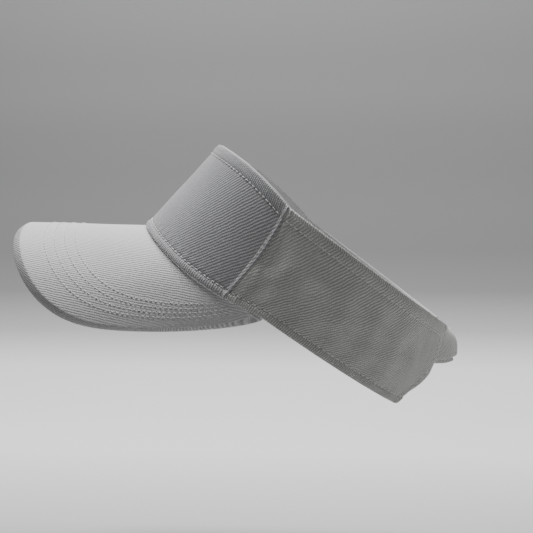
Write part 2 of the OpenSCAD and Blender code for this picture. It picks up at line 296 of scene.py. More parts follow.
def band_cloth(name, start, stop, low, high, outer, inner, turn=1, step=1.0, ends=0.8, corner=0.0,
               rows=None, hem_rows=()):
    """A closed piece of cloth round part of the band, from angle start to stop, as functions of height.
    outer(s, v, e_start, e_stop) is the depth of its outer side. turn -1 puts it on the wearer's right."""
    rows = profile_rows() if rows is None else rows
    share, off, out, v = rows.T
    length = arc_length(float(start(0.0)), float(stop(0.0)))
    near = np.concatenate([[0, 0.06, 0.2, 0.4, 0.6, 0.8], np.arange(1.05, 11, 0.45 if step < 1.2 else 1.4)])
    body = np.linspace(11.5, length - 11.5, int((length - 23) / step))
    s = np.concatenate([near, body, length - near[::-1]])[:, None]
    e_start, e_stop = s, length - s
    z = np.zeros((len(s), len(v)))
    rounding = corner - np.sqrt(np.maximum(corner ** 2 - (corner - e_stop) ** 2, 0))
    lift = np.where(e_stop < corner, rounding, 0)
    for _ in range(6):
        a = mix(start(z), stop(z), s / length)
        y = HALF_L * scale_at(z) * np.cos(a)
        z = (1 - share) * (low(y) + off + lift) + share * (high(y) - off)
    skin = outer(s, v[None, :], e_start, e_stop)
    bulk = np.minimum(skin + 1.5, 0)
    middle = (skin + inner + bulk) / 2
    depth = skin * out + (inner + bulk) * (1 - out)
    closing = np.sqrt(1 - (1 - np.clip(np.minimum(e_start, e_stop) / ends, 0, 1)) ** 2)
    depth = middle + (depth - middle) * closing
    points = to_world(band_point(a * turn, z, depth))
    if turn < 0:
        points = points[::-1]
        s = length - s[::-1]
    surface = Surface(points, s[:, 0], v)
    uv = np.stack([np.broadcast_to(s, z.shape), np.broadcast_to(v, z.shape)], -1)
    surface.length = length
    quads = grid_quads(len(s), len(v), close_cols=True)
    v_mid = v[quads[:, 0] % len(v)]
    hemmed = np.zeros(len(quads), bool)
    for lo, hi in hem_rows:
        hemmed |= (v_mid >= lo) & (v_mid < hi)
    return make_mesh(name, points.reshape(-1, 3), quads, uv.reshape(-1, 2), hemmed), surface


def stitches(surface, u, v, pitch=3.4, share=0.72, radius=0.32, proud=0.22, seed=1):
    """Threads along a path over a surface: one short rounded length after another."""
    rng = np.random.default_rng(seed)
    path = surface.point(u, v)
    run = np.concatenate([[0], np.cumsum(np.linalg.norm(np.diff(path, axis=0), axis=1))])
    count = max(int(run[-1] / pitch), 1)
    ring = np.linspace(0, 2 * math.pi, 7)[:-1]
    along = np.array([0, 0.08, 0.3, 0.5, 0.7, 0.92, 1.0])
    thick = np.array([0.35, 0.8, 1.0, 1.0, 1.0, 0.8, 0.35])
    height = np.array([-0.35, 0.0, 0.9, 1.0, 0.9, 0.0, -0.35])
    points, quads, uvs = [], [], []
    for i in range(count):
        d0 = (i + rng.uniform(-0.05, 0.05)) * run[-1] / count
        d = d0 + along * pitch * share * rng.uniform(0.94, 1.04)
        uu, vv = np.interp(d, run, u), np.interp(d, run, v)
        centre, n = surface.point(uu, vv), surface.normal(uu, vv)
        t = np.gradient(centre, axis=0)
        t /= np.maximum(np.linalg.norm(t, axis=-1, keepdims=True), 1e-9)
        b = np.cross(t, n)
        slant = rng.uniform(-0.1, 0.1)
        centre = centre + n * (proud + radius * height[:, None] * 0.8) + b * (slant * (along - 0.5))[:, None]
        circle = (n[:, None] * np.sin(ring)[None, :, None] + b[:, None] * np.cos(ring)[None, :, None])
        body = centre[:, None] + circle * (radius * thick)[:, None, None]
        base = len(points) * len(along) * len(ring)
        points.append(body.reshape(-1, 3))
        quads.append(grid_quads(len(along), len(ring), close_cols=True) + base)
        uvs.append(np.stack(np.broadcast_arrays(d[:, None], ring[None, :]), -1).reshape(-1, 2))
    return np.concatenate(points), np.concatenate(quads), np.concatenate(uvs)


def thread_piece(name, parts, body, stands_for):
    """One object from several runs of stitches."""
    points, quads, uvs, base = [], [], [], 0
    for p, q, w in parts:
        points.append(p)
        quads.append(q + base)
        uvs.append(w)
        base += len(p)
    mesh = make_mesh(name, np.concatenate(points), np.concatenate(quads), np.concatenate(uvs))
    return link(mesh, name, body, stands_for, [THREAD])


# ---------- materials ----------

class Net:
    """A material's nodes, made one after another."""

    def __init__(self, name):
        self.material = bpy.data.materials.new(name)
        self.material.use_nodes = True
        self.tree = self.material.node_tree
        self.shader = self.tree.nodes["Principled BSDF"]

    def node(self, kind, **settings):
        made = self.tree.nodes.new(kind)
        for key, value in settings.items():
            setattr(made, key, value)
        return made

    def join(self, value, socket):
        if isinstance(value, bpy.types.NodeSocket):
            self.tree.links.new(value, socket)
        else:
            socket.default_value = value

    def math(self, operation, a, b=0.0, c=0.0):
        made = self.node("ShaderNodeMath", operation=operation)
        for value, socket in zip((a, b, c), made.inputs):
            self.join(value, socket)
        return made.outputs[0]

    def cloth_map(self):
        split = self.node("ShaderNodeSeparateXYZ")
        self.tree.links.new(self.node("ShaderNodeUVMap", uv_map="cloth").outputs[0], split.inputs[0])
        mm = 1 / UV_SCALE
        return self.math("MULTIPLY", split.outputs[0], mm), self.math("MULTIPLY", split.outputs[1], mm)

    def noise(self, u, v, size, detail=2.0):
        """Noise over the cloth's map, with grains of about this many mm."""
        both = self.node("ShaderNodeCombineXYZ")
        self.join(self.math("DIVIDE", u, size), both.inputs[0])
        self.join(self.math("DIVIDE", v, size), both.inputs[1])
        made = self.node("ShaderNodeTexNoise")
        self.tree.links.new(both.outputs[0], made.inputs["Vector"])
        made.inputs["Scale"].default_value = 1.0
        made.inputs["Detail"].default_value = detail
        return made.outputs["Fac"]

    def blend(self, share, a, b):
        made = self.node("ShaderNodeMix", data_type="RGBA")
        self.join(share, made.inputs[0])
        self.join(a, made.inputs[6])
        self.join(b, made.inputs[7])
        return made.outputs[2]

    def finish(self, colour, height, relief, roughness=0.9, sheen=0.15):
        self.join(colour, self.shader.inputs["Base Color"])
        self.shader.inputs["Roughness"].default_value = roughness
        self.shader.inputs["Specular IOR Level"].default_value = 0.25
        self.shader.inputs["Sheen Weight"].default_value = sheen
        self.shader.inputs["Sheen Roughness"].default_value = 0.5
        if height is not None:
            bump = self.node("ShaderNodeBump")
            bump.inputs["Distance"].default_value = relief * MM
            self.join(height, bump.inputs["Height"])
            self.tree.links.new(bump.outputs[0], self.shader.inputs["Normal"])
        return self.material


def grey(level, tint=(0, 0, 0)):
    return (level + tint[0], level + tint[1], level + tint[2], 1)


def twill(name, angle, top, valley, pitch=1.9, relief=0.3, wear=0.04):
    """Twill: ridges across the cloth at an angle from its length, each ridge broken into short floats."""
    net = Net(name)
    u, v = net.cloth_map()
    c, s = math.cos(angle * RAD), math.sin(angle * RAD)
    across = net.math("ADD", net.math("MULTIPLY", u, -s / pitch), net.math("MULTIPLY", v, c / pitch))
    along = net.math("ADD", net.math("MULTIPLY", u, c), net.math("MULTIPLY", v, s))
    across = net.math("ADD", across, net.math("MULTIPLY", net.noise(u, v, 7.0), 0.8))
    across = net.math("ADD", across, net.math("MULTIPLY", net.noise(u, v, 1.6), 0.45))
    ridge = net.math("MULTIPLY_ADD", net.math("SINE", net.math("MULTIPLY", across, 2 * math.pi)), 0.5, 0.5)
    stagger = net.math("MULTIPLY", net.math("FLOOR", across), 2.2)
    beat = net.math("SINE", net.math("ADD", net.math("MULTIPLY", along, 2 * math.pi / 1.25), stagger))
    floats = net.math("MULTIPLY_ADD", beat, 0.2, 0.8)
    slub = net.noise(along, across, 1.6, 3.0)
    height = net.math("MULTIPLY", ridge, floats)
    height = net.math("MULTIPLY", height, net.math("MULTIPLY_ADD", slub, 1.3, 0.35))
    mottle = net.noise(u, v, 18.0, 3.0)
    # Colour: the valley colour where the ridges run low is painted shade in the grooves; the mottle on top
    # is random tone.
    share = net.math("ADD", height, net.math("MULTIPLY_ADD", mottle, wear * 6, -wear * 3))
    return net.finish(net.blend(share, valley, top), height, relief)


def knit(name, top, valley, size, relief):
    """Fine towelling or lining cloth: small close grains."""
    net = Net(name)
    u, v = net.cloth_map()
    turn = 2 * math.pi / size
    rib = net.math("MULTIPLY_ADD", net.math("SINE", net.math("MULTIPLY", u, turn)), 0.5, 0.5)
    course = net.math("MULTIPLY_ADD", net.math("SINE", net.math("MULTIPLY", v, turn)), 0.5, 0.5)
    fuzz = net.noise(u, v, size * 0.8, 4.0)
    height = net.math("MAXIMUM", rib, course)
    height = net.math("MULTIPLY", height, net.math("MULTIPLY_ADD", fuzz, 1.0, 0.4))
    mottle = net.noise(u, v, 20.0, 3.0)
    # Colour: the valley colour where the grains run low is painted shade between them; the mottle on top is
    # random tone.
    share = net.math("ADD", height, net.math("MULTIPLY_ADD", mottle, 0.3, -0.15))
    return net.finish(net.blend(share, valley, top), height, relief)


def thread_material():
    """Sewing thread: plies that twist round each stitch."""
    net = Net("thread")
    u, v = net.cloth_map()
    turn = net.math("ADD", net.math("MULTIPLY", u, 2 * math.pi / 0.7), net.math("MULTIPLY", v, 2))
    ply = net.math("MULTIPLY_ADD", net.math("SINE", turn), 0.5, 0.5)
    # The plies are painted a little darker where they twist down: painted shade between the plies.
    return net.finish(net.blend(ply, grey(0.93), grey(0.99)), ply, 0.03, roughness=0.6, sheen=0.3)


def plastic_material():
    """The brim's board: pale matte plastic with a faint grain."""
    net = Net("board")
    place = net.node("ShaderNodeTexCoord")
    grain = net.node("ShaderNodeTexNoise")
    net.tree.links.new(place.outputs["Object"], grain.inputs["Vector"])
    grain.inputs["Scale"].default_value = 900
    return net.finish(net.blend(grain.outputs["Fac"], grey(0.5), grey(0.62)), grain.outputs["Fac"], 0.05,
                      roughness=0.5, sheen=0.0)


def hook_material():
    net = Net("hooks")
    u, v = net.cloth_map()
    grain = net.noise(u, v, 1.1, 3.0)
    return net.finish(net.blend(grain, grey(0.7), grey(0.86)), grain, 0.1, roughness=0.42, sheen=0.0)


# All the outer cloth is one white twill. The front panel and its hem are painted darker and a little blue:
# painted shade and painted cool light.
FRONT_PAINTED_SHADE = twill("twill_front", 56, grey(0.56, (0, 0, 0.015)), grey(0.32, (0, 0, 0.01)), pitch=1.7,
              relief=0.20)
FRONT_HEM_PAINTED_SHADE = twill("twill_front_hem", 98, grey(0.64, (0, 0, 0.01)), grey(0.34, (0, 0, 0.01)), pitch=1.45,
                  relief=0.34)
# The side panels and their hems are painted lighter than the brim and a little warm: painted light.
SIDES_PAINTED_LIGHT = twill("twill_side", 59, grey(0.95, (0, 0, -0.035)), grey(0.48, (0, 0, -0.02)), pitch=1.7,
              relief=0.36, wear=0.07)
SIDE_HEM_PAINTED_LIGHT = twill("twill_hem", 98, grey(0.92, (0, 0, -0.03)), grey(0.46, (0, 0, -0.02)), pitch=1.45,
            relief=0.36)
BRIM = twill("twill_brim", -14, grey(0.90), grey(0.68), pitch=1.5, relief=0.24)
# The brim's turned edge is painted darker than the brim's top: painted shade.
EDGE_PAINTED_SHADE = twill("twill_edge", -32, grey(0.74), grey(0.36), pitch=1.6, relief=0.34)
UNDER = twill("twill_under", 20, grey(0.78), grey(0.58), pitch=1.5, relief=0.26)
# The strap is painted a little warm: painted warm fill light.
STRAP = twill("twill_strap", 62, grey(0.94, (0, 0, -0.02)), grey(0.72, (0, 0, -0.02)), pitch=1.6, relief=0.2)
LINING = knit("lining", grey(0.78), grey(0.55), 0.9, 0.12)
TOWEL = knit("sweatband", grey(0.80), grey(0.58), 1.4, 0.3)
LABEL = knit("label", grey(0.82), grey(0.68), 0.6, 0.06)
BUCKRAM = knit("stiffener", grey(0.72), grey(0.45), 1.6, 0.2)
LOOPS = knit("loops", grey(0.80), grey(0.5), 1.0, 0.4)
THREAD = thread_material()
BOARD = plastic_material()
HOOKS = hook_material()


def paint(node, material):
    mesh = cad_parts[node].data
    mesh.materials.clear()
    mesh.materials.append(material)


# ---------- the band ----------

def low_hem(s, v):
    """Outward relief of the lower hem: a rounded rim, and a valley at its stitches."""
    rim = 0.75 * np.sin(math.pi * np.clip((v + 1.2) / 6.0, 0, 1)) ** 0.7
    valley = -0.45 * np.exp(-((v - LOW_HEM) / 0.75) ** 2)
    rope = 0.13 * np.sin(2 * math.pi * (s + 0.5 * v) / 2.9) * np.exp(-((v - 2) / 2.2) ** 2)
    pucker = 0.10 * np.sin(2 * math.pi * s / 6.8) * np.exp(-((v - LOW_HEM - 2.5) / 2.5) ** 2)
    return rim * (v < LOW_HEM + 1) + valley + rope + pucker


def top_hem(s, v):
    h = HEIGHT - v
    rim = 0.6 * np.sin(math.pi * np.clip((h + 1.5) / (TOP_HEM + 1.5), 0, 1)) ** 0.6
    valley = -0.35 * np.exp(-((h - TOP_HEM) / 1.0) ** 2)
    rope = 0.10 * np.sin(2 * math.pi * (s - 0.6 * h) / 3.1) * np.exp(-((h - 3) / 3) ** 2)
    return rim * (h < TOP_HEM) + valley + rope


def front_skin(s, v, e_start, e_stop):
    e = np.minimum(e_start, e_stop)
    lap = 0.75 * smooth(1 - (e - 1.3) / 1.6) + 0.55 * np.exp(-((e - 0.8) / 0.6) ** 2)
    return -(low_hem(s, v) + top_hem(s, v) + lap + waves(3, s, v, 7, 0.10, 60))


def end_flare(v, e_stop, turn):
    """The strap pulls the panel's end outward, most at half height."""
    out = np.interp(v, (0, 10, 18, 28, 38, 48, 58, HEIGHT), (0.3, 1.2, 2.6, 4.2, 4.4, 3.0, 1.2, 0))
    return (out if turn > 0 else 0.3 * out) * np.exp(-(np.maximum(e_stop, 0) / 11.0) ** 1.6)


def side_skin(s, v, e_start, e_stop, seed, turn):
    e = e_start - 3.0
    up = np.clip(v / HEIGHT, 0, 1)
    width = mix(6.2, 2.0, up)
    allowance = 0.45 * smooth((width + 0.8 - e) / 1.3) + 0.4 * np.exp(-((e - width) / 0.8) ** 2)
    tucked = -0.45 * smooth(1 - e / 1.5)
    end = 0.35 * smooth(1 - (e_stop - 4.5) / 1.2) - 0.25 * np.exp(-((e_stop - 5.2) / 0.8) ** 2)
    slack = np.exp(-((v - 30) / 24.0) ** 2)
    folds = (waves(seed, s, v, 6, 0.95, 52, 0.6) + waves(seed + 30, s, v, 5, 0.34, 22, 0.8)) * slack
    ridge = np.exp(-((e_stop - 17 - 0.25 * (v - 40)) / 5.0) ** 2)
    near_end = 0.9 * ridge * np.exp(-((v - 44) / 12.0) ** 2)
    hollow = np.exp(-((e_stop - 27 - 0.3 * (v - 40)) / 6.0) ** 2)
    dent = -0.8 * hollow * np.exp(-((v - 46) / 10.0) ** 2)
    low_pull = 0.7 * np.exp(-((e - 16) / 6.0) ** 2) * np.exp(-((v - 12) / 6.0) ** 2)
    shape = allowance + tucked + end + near_end + dent + low_pull + np.maximum(folds + 0.5 * slack, -0.6)
    shape = np.maximum(shape, -0.8) + end_flare(v, e_stop, turn)
    return -(low_hem(s, v) + top_hem(s, v) + shape)


def build_panels():
    def front_start(z):
        return seam_angle(z)

    def front_stop(z):
        return 2 * math.pi - seam_angle(z)

    low, high = (-2, LOW_HEM - 0.3), (HEIGHT - TOP_HEM + 0.3, HEIGHT + 2)
    rim = (HEIGHT - 3.4, HEIGHT + 2)
    made = {}
    mesh, made["front"] = band_cloth("front_panel_cloth", lambda z: front_stop(z), lambda z: front_start(z),
                                     edge_z, top_z, front_skin, 1.0, hem_rows=(low, high))
    link(mesh, "front_panel_cloth", "visor", ["front_panel"], [FRONT_PAINTED_SHADE, FRONT_HEM_PAINTED_SHADE])
    for key, turn, seed in (("left", 1, 11), ("right", -1, 12)):
        name = key + "_side_panel_cloth"
        mesh, made[key] = band_cloth(
            name, lambda z: seam_angle(z, -3.0), lambda z: end_angle(z, turn), edge_z, top_z,
            lambda s, v, a, b: side_skin(s, v, a, b, seed, turn), 0.95, turn=turn, corner=2.6,
            hem_rows=(low, rim))
        link(mesh, name, "visor", [key + "_side_panel"], [SIDES_PAINTED_LIGHT, SIDE_HEM_PAINTED_LIGHT])
    return made


def build_linings():
    def plain(level, seed):
        return lambda s, v, a, b: level - 0.12 - waves(seed, s, v, 5, 0.12, 30)

    rows = profile_rows(mid=30, inside=30)
    mesh, _ = band_cloth("front_lining_cloth", lambda z: 2 * math.pi - seam_angle(z), seam_angle,
                         lambda y: edge_z(y) + 0.5, lambda y: top_z(y) + 0.5, plain(1.8, 21), 2.45,
                         step=1.6, ends=0.3, rows=rows)
    link(mesh, "front_lining_cloth", "visor", ["front_lining"], [LINING])
    for key, turn in (("left", 1), ("right", -1)):
        name = key + "_side_lining_cloth"
        mesh, _ = band_cloth(
            name, lambda z: seam_angle(z, -0.6), lambda z: end_angle(z, turn, -LINING_BACK, LINING_FROM),
            lambda y: edge_z(y) + 0.5, lambda y: top_z(y) + 0.4 * smooth(1 - (y + 25) / 30) - 0.3,
            plain(1.4, 22), 2.05, turn=turn, step=1.6, ends=0.3, rows=rows)
        link(mesh, name, "visor", [key + "_side_lining"], [LINING])


def build_sweatband():
    """A folded strip of towelling: full in the middle, drawn in along its stitches."""
    def skin(s, v, a, b):
        return 2.55 - waves(31, s, v, 5, 0.08, 30) + 0 * s

    low_edge = -0.3
    tall = 32.0
    rows = profile_rows(mid=20, inside=44)
    mesh, surface = band_cloth(
        "sweatband_cloth", lambda z: 2 * math.pi - end_angle(z, -1, -3.0), lambda z: end_angle(z, 1, -3.0),
        lambda y: edge_z(y) + low_edge, lambda y: LOW_Z + tall + 0 * y, skin, 4.6, step=1.4, ends=1.2,
        rows=rows)
    # the inner side swells between its two rows of stitches and ripples a little
    co = np.zeros(len(mesh.vertices) * 3, np.float32)
    mesh.vertices.foreach_get("co", co)
    co = co.reshape(surface.p.shape).astype(float)
    v = surface.v[None, :]
    t = np.clip((v - HEIGHT - 1) / (HEIGHT - 2), 0, 1)
    full = 0.9 * np.sin(math.pi * t) ** 0.5 - 0.55 * np.exp(-((t - 0.12) / 0.03) ** 2)
    swell = np.where(v > HEIGHT + 1, full, 0)
    swell = swell + np.where(v > HEIGHT + 1, 0.1 * np.sin(2 * math.pi * surface.u[:, None] / 3.3)
                             * np.exp(-((t - 0.12) / 0.06) ** 2), 0)
    inward = to_world(np.stack([-np.sin(np.arctan2(*np.moveaxis(to_band(co)[..., :2], -1, 0))),
                                -np.cos(np.arctan2(*np.moveaxis(to_band(co)[..., :2], -1, 0))),
                                0 * co[..., 0]], -1))
    co = co + inward * swell[..., None] * MM
    mesh.vertices.foreach_set("co", co.astype(np.float32).ravel())
    mesh.update()
    band = link(mesh, "sweatband_cloth", "visor", ["sweatband"], [TOWEL])
    return Surface(co / MM, surface.u, surface.v)


def build_label():
    box = [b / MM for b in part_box("care_label")]
    flat = to_band(cad_points("care_label"))
    y0, y1, z0, z1 = flat[:, 1].min(), flat[:, 1].max(), flat[:, 2].min(), flat[:, 2].max()
    ny, nz = 40, 30
    y, z = np.meshgrid(np.linspace(y0, y1, ny), np.linspace(z0, z1, nz), indexing="ij")
    a = np.arccos(np.clip(y / (HALF_L * scale_at(z)), -1, 1))
    free = smooth((z1 - z) / (z1 - z0))
    lift = 0.5 + 0.35 * free * np.sin(math.pi * (y - y0) / (y1 - y0)) + 0.5 * free ** 3
    out = to_world(band_point(a, z, 5.6 + lift))
    back = to_world(band_point(a, z, 5.35 + lift))
    points = np.concatenate([out.reshape(-1, 3), back.reshape(-1, 3)])
    quads = np.concatenate([grid_quads(ny, nz), grid_quads(ny, nz)[:, ::-1] + ny * nz])
    rim = [i * nz for i in range(ny)] + [(ny - 1) * nz + j for j in range(1, nz)]
    rim += [i * nz + nz - 1 for i in range(ny - 2, -1, -1)] + [j for j in range(nz - 2, 0, -1)]
    ring = [[rim[i], rim[(i + 1) % len(rim)], rim[(i + 1) % len(rim)] + ny * nz, rim[i] + ny * nz]
            for i in range(len(rim))]
    uv = np.stack([y, z], -1).reshape(-1, 2)
    faces = np.concatenate([quads, np.array(ring)])
    mesh = make_mesh("care_label_cloth", points, faces, np.concatenate([uv, uv]))
    link(mesh, "care_label_cloth", "visor", ["care_label"], [LABEL])
    return box


def stitch_panels(made):
    """Rows along the hems, up beside the seams and up the end edges."""
    def along(surface, lo, hi, v, seed):
        u = np.linspace(lo, hi, 600)
        return stitches(surface, u, np.full(600, v), seed=seed)

    front = made["front"]
    top_v = HEIGHT - TOP_HEM
    thread_piece("front_lower_stitches", [along(front, 3.5, front.length - 3.5, LOW_HEM, 1)], "visor",
                 ["front_lower_stitching"])
    thread_piece("front_top_stitches", [along(front, 3.5, front.length - 3.5, top_v, 2)], "visor",
                 ["front_top_stitching"])
    for key, seed in (("left", 3), ("right", 4)):
        panel = made[key]
        lo, hi = (4.5, panel.length - 6.5) if key == "left" else (6.5, panel.length - 4.5)
        thread_piece(key + "_lower_stitches", [along(panel, lo, hi, LOW_HEM, seed)], "visor",
                     [key + "_lower_stitching"])
        thread_piece(key + "_top_stitches", [along(panel, lo, hi, top_v, seed + 2)], "visor",
                     [key + "_top_stitching"])
        v = np.linspace(2.0, HEIGHT - 2.0, 300)
        seam_u = front.length - 2.6 if key == "left" else 2.6
        end_u = panel.length - 5.2 if key == "left" else 5.2
        run = stitches(front, np.full(300, seam_u), v, radius=0.2, proud=-0.05, seed=seed + 4)
        thread_piece(key + "_seam_stitches", [run], "visor", [key + "_seam_stitching"])
        run = stitches(panel, np.full(300, end_u), v, radius=0.25, proud=0.0, seed=seed + 6)
        thread_piece(key + "_end_stitches", [run], "visor", [key + "_end_stitching"])


# ---------- the closure ----------

def lean_at(a):
    reach = np.where(a > 0, LEAN_REACH, -TAB_START)
    return mix(7.5, STRAP_LEAN, smooth(1 - np.abs(a) / reach)) * RAD


def strap_point(a, down, depth):
    """Angle in degrees, distance below the upper edge, depth below the band's surface."""
    r = a * RAD
    edge = band_point(r, BACK_Z - STRAP_DROP + 0 * r, 0)
    out = np.stack([np.sin(r) / HALF_W, np.cos(r) / HALF_L, 0 * r], -1)
    out /= np.linalg.norm(out, axis=-1, keepdims=True)
    up = np.array([0.0, 0.0, 1.0])
    lean = lean_at(a)[..., None]
    share = np.clip(np.asarray(down) / STRAP_W, 0, 1.15)
    down = down + ROOT_FLARE * smooth(a / 12) * share
    depth = depth - CROWN * np.sin(math.pi * np.minimum(share, 1)) * smooth(1.15 - np.abs(a) / 11)
    return to_world(edge + (out * np.sin(lean) - up * np.cos(lean)) * np.asarray(down)[..., None]
                    - (out * np.cos(lean) + up * np.sin(lean)) * np.asarray(depth)[..., None])


def strap_cloth(name, start, stop, down, depth, shift=None, relief=0.0, seed=5):
    """A strip with rounded edges along the closure."""
    width, thick = down[1] - down[0], depth[1] - depth[0]
    r = thick / 2
    step = 0.8
    n = int(width / step)
    across = np.linspace(r, width - r, n)
    turn = np.linspace(0, math.pi, 7)[1:-1]
    d = np.concatenate([across, width - r + r * np.sin(turn), across[::-1], r - r * np.sin(turn)])
    q = np.concatenate([0 * across, r - r * np.cos(turn), 0 * across + thick, r + r * np.cos(turn)])
    cols = int(abs(stop - start) * RAD * HALF_L / step)
    a = np.linspace(start, stop, cols)[:, None] + 0 * d[None, :]
    far = np.abs(a - start) * RAD * HALF_L
    near = np.abs(stop - a) * RAD * HALF_L
    closing = np.sqrt(1 - (1 - np.clip(np.minimum(far, near) / r / 1.2, 0, 1)) ** 2)
    s = (a - start) * RAD * HALF_L
    bead = 0.22 * np.exp(-((np.minimum(d, width - d) - 1.3) / 1.0) ** 2)
    valley = -0.25 * np.exp(-((np.minimum(d, width - d) - 2.6) / 0.5) ** 2)
    soft = waves(seed, s, d[None, :], 4, relief, 18)
    outward = np.where(q[None, :] < r, bead[None, :] + valley[None, :], 0) + soft
    layer = depth[0] + r + (q[None, :] - r) * closing - outward
    if shift is not None:
        layer = layer - shift(a)
    points = strap_point(a, down[0] + d[None, :] + 0 * a, layer)
    uv = np.stack([s, d[None, :] + q[None, :] + 0 * s], -1)
    mesh = make_mesh(name, points.reshape(-1, 3), grid_quads(cols, len(d), True), uv.reshape(-1, 2))
    surface = Surface(points[:, :n], a[:, 0] if stop > start else -a[:, 0], d[:n], -1)
    surface.sign = 1 if stop > start else -1
    return mesh, surface


def strap_stitches(surface, angles, offsets, seed):
    parts = []
    for i, d in enumerate(offsets):
        u = np.linspace(angles[0], angles[1], 200) * surface.sign
        parts.append(stitches(surface, u, np.full(200, d), pitch=3.2, radius=0.26, proud=0.1, seed=seed + i))
    return parts


def build_closure():
    mesh, cloth = strap_cloth("strap_cloth", STRAP_START, TAIL_END, (0, STRAP_W), STRAP_DEPTH, relief=0.12)
    strap = bpy.data.objects.new("strap_cloth", mesh)
    bpy.context.scene.collection.objects.link(strap)
    mesh.materials.append(STRAP)
    middle = STRAP_W / 2
    start = strap_point(np.array(HINGE + BEND), middle, 1.7) * MM
    stop = strap_point(np.array(HINGE - BEND), middle, 1.7) * MM
    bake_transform(strap)
    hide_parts("closure_strap", "strap_tail")

    mesh, _ = strap_cloth("right_tab_cloth", TAB_END, TAB_START - 2, (TAB_LOW, STRAP_W + TAB_LOW), TAB_DEPTH,
                          shift=lambda a: 3.0 * smooth((TAIL_END - 0.5 - a) / 5.5), relief=0.1, seed=6)
    link(mesh, "right_tab_cloth", "visor", ["right_tab"], [STRAP])
    rows = (2.6, STRAP_W - 2.6)
    runs = strap_stitches(cloth, (HINGE - BEND - 0.6, TAIL_END + 1.5), rows, 41)
    thread_piece("tail_stitches", runs, "tail", ["tail_stitching"])
    runs = strap_stitches(cloth, (HINGE + BEND + 5, HINGE + BEND + 0.2), rows, 43)
    thread_piece("strap_stitches", runs, "visor", ["strap_stitching"])
    build_tapes()


def build_tapes():
    margin = 2.0
    across = (margin, STRAP_W - margin)
    mesh, _ = strap_cloth("hook_tape_base", TAPE_START, TAIL_END + 1.5, across, HOOK_DEPTH)
    link(mesh, "hook_tape_base", "tail", ["hook_tape"], [HOOKS])
    mesh, _ = strap_cloth("loop_tape_base", TAPE_START + 1, TAIL_END + 0.5, across, LOOP_DEPTH, relief=0.05)
    link(mesh, "loop_tape_base", "visor", ["loop_tape"], [LOOPS])
    pins("hook_tape_hooks", "tail", HOOKS, (TAPE_START - 1, TAIL_END + 2.3), HOOK_DEPTH[1], 0.55,
         1.25, 0.16, 51)
    pins("loop_tape_pile", "visor", LOOPS, (TAPE_START, TAIL_END + 1.3), 3.62, -0.3, 0.9, 0.11, 52)


def pins(name, body, material, angles, depth, tall, pitch, radius, seed):
    """A field of small bent threads standing on a tape: hooks, or the pile that they catch."""
    rng = np.random.default_rng(seed)
    count = int(abs(angles[1] - angles[0]) * RAD * HALF_L / pitch)
    rows = int((STRAP_W - 6) / pitch)
    places = np.linspace(angles[0], angles[1], count), np.linspace(3, STRAP_W - 3, rows)
    a, d = np.meshgrid(*places, indexing="ij")
    a = a.ravel() + rng.uniform(-0.12, 0.12, a.size)
    d = d.ravel() + rng.uniform(-0.12, 0.12, d.size)
    rise = np.array([0.0, 0.6, 0.95, 1.0, 0.75])
    reach = np.array([0.0, 0.05, 0.25, 0.55, 0.75]) * 0.5
    ring = np.linspace(0, 2 * math.pi, 5)[:-1]
    points, quads = [], []
    for i in range(len(a)):
        lean = rng.choice([-1, 1]) if tall > 0 else rng.uniform(-1.5, 1.5)
        line = strap_point(np.full(5, a[i]), d[i] + reach * lean, depth + rise * tall)
        side = strap_point(np.full(5, a[i] + 0.1), d[i] + reach * lean, depth + rise * tall) - line
        side /= np.linalg.norm(side, axis=-1, keepdims=True)
        t = np.gradient(line, axis=0)
        t /= np.linalg.norm(t, axis=-1, keepdims=True)
        other = np.cross(t, side)
        tube = line[:, None] + radius * (side[:, None] * np.cos(ring)[None, :, None]
                                         + other[:, None] * np.sin(ring)[None, :, None])
        quads.append(grid_quads(5, 4, True) + len(points) * 20)
        points.append(tube.reshape(-1, 3))
    points = np.concatenate(points)
    mesh = make_mesh(name, points, np.concatenate(quads), points[:, :2])
    link(mesh, name, body, (), [material])


# ---------- the brim ----------

def brim_inner(u):
    a = math.pi - u * math.pi / 2
    return to_world(band_point(a, edge_z(HALF_L * np.cos(a)) - 0.4, 1.2))


BRIM_ROOT_Y = float(brim_inner(np.array(1.0))[1])
FULL_DROP = BRIM_DROP / (1 - math.sqrt(1 - (BRIM_HALF_W / BRIM_ARCH_W) ** 2))


def brim_outer(u):
    c = 1 - np.abs(u) ** BRIM_POWER
    x = np.sign(u) * BRIM_HALF_W * (1 - c ** BRIM_END_POWER) ** (1 / BRIM_POWER)
    y = BRIM_ROOT_Y - (BRIM_REACH + BRIM_ROOT_Y) * c
    ridge = mix(BRIM_FRONT_Z, BRIM_TIP_Z, (-HALF_L - y) / (BRIM_REACH - HALF_L))
    z = ridge - FULL_DROP * (1 - np.sqrt(np.maximum(0, 1 - (x / BRIM_ARCH_W) ** 2)))
    w = (smooth(1 - c / 0.5) ** 2)[..., None]
    return mix(np.stack([x, y, z], -1), brim_inner(np.sign(u) + 0.0), w)


def brim_skin(u, v):
    return mix(brim_inner(u), brim_outer(u), v[..., None])


def brim_point(u, v, depth):
    h = 0.004
    along = brim_skin(u + h, v) - brim_skin(u - h, v)
    n = np.cross(brim_outer(u) - brim_inner(u), along)
    n /= np.maximum(np.linalg.norm(n, axis=-1, keepdims=True), 1e-9)
    return brim_skin(u, v) - n * depth[..., None]


def brim_columns(limit, step):
    """Values of u spaced evenly along the brim's edge, with the length run at each."""
    fine = np.linspace(-limit, limit, 4000)
    p = brim_outer(fine)
    run = np.concatenate([[0], np.cumsum(np.linalg.norm(np.diff(p, axis=0), axis=1))])
    even = np.linspace(0, run[-1], int(run[-1] / step))
    return np.interp(even, run, fine)


def brim_width(u):
    return np.linalg.norm(brim_outer(u) - brim_inner(u), axis=-1)


